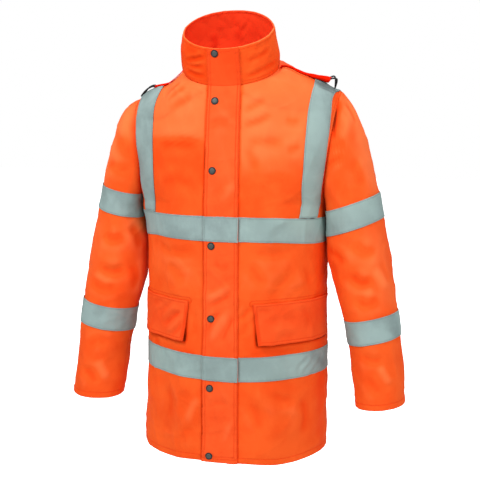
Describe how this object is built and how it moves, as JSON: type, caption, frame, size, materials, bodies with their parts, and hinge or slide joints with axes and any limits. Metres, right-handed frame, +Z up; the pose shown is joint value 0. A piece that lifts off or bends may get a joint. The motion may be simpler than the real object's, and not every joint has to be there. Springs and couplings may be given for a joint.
{
  "type": "hi-vis work jacket",
  "caption": "Thigh-length orange hi-vis work jacket in its worn shape, with a stand collar, snapped storm flap, pocket flaps, shoulder straps and grey retroreflective bands.",
  "frame": {"origin": "centre of the seam between collar and body, where the wearer's neck holds the jacket up", "axes": "+Z up the wearer, -Y out of the front, +X towards the wearer's left"},
  "size_m": [0.7156, 0.3032, 0.9007],
  "materials": {
    "orange_shell": "satin",
    "orange_flap": "satin",
    "reflective_tape": "satin",
    "snap_metal": "satin",
    "loop_cord": "matte"
  },
  "bodies": {
    "root": {"back": "orange_shell", "chest_tape_back": "reflective_tape", "chest_tape_flap": "reflective_tape", "chest_tape_front_left": "reflective_tape", "chest_tape_front_right": "reflective_tape", "collar": "orange_shell", "collar_flap": "orange_flap", "front_left": "orange_shell", "front_right": "orange_shell", "lower_tape_back": "reflective_tape", "lower_tape_flap": "reflective_tape", "lower_tape_front_left": "reflective_tape", "lower_tape_front_right": "reflective_tape", "pocket_flap_left": "orange_flap", "pocket_flap_right": "orange_flap", "shoulder_strap_left": "orange_flap", "shoulder_strap_right": "orange_flap", "shoulder_tape_left": "reflective_tape", "shoulder_tape_right": "reflective_tape", "sleeve_left": "orange_shell", "sleeve_right": "orange_shell", "sleeve_tape_fore_left": "reflective_tape", "sleeve_tape_fore_right": "reflective_tape", "sleeve_tape_upper_left": "reflective_tape", "sleeve_tape_upper_right": "reflective_tape", "snap_1": "snap_metal", "snap_2": "snap_metal", "snap_3": "snap_metal", "snap_4": "snap_metal", "snap_5": "snap_metal", "snap_6": "snap_metal", "snap_7": "snap_metal", "storm_flap": "orange_flap", "strap_loop_left": "loop_cord", "strap_loop_right": "loop_cord"}
  },
  "joints": []
}
